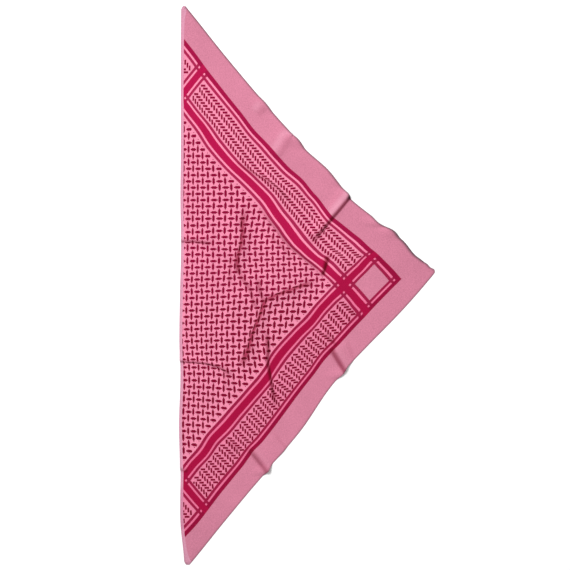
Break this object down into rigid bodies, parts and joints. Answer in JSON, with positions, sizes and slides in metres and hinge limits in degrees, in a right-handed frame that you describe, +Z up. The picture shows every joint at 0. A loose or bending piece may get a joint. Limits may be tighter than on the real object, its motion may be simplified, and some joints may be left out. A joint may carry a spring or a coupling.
{
  "type": "triangle scarf",
  "caption": "Large triangular jacquard-knit scarf laid out flat, with plain margins, bordered stripes, herringbone bands and a small-dash middle, softly creased.",
  "frame": {"origin": "on the floor under the middle of the laid scarf", "axes": "+Y along the long edge, towards the upper tip; +X from the long edge towards the corner opposite it; +Z up from the floor, out of the face that shows"},
  "size_m": [0.735, 1.606, 0.0153],
  "materials": {
    "jacquard_knit": "soft matt double-knit jacquard in two pinks and two crimsons"
  },
  "bodies": {
    "root": {"knitted_panel": "jacquard_knit"}
  },
  "joints": []
}
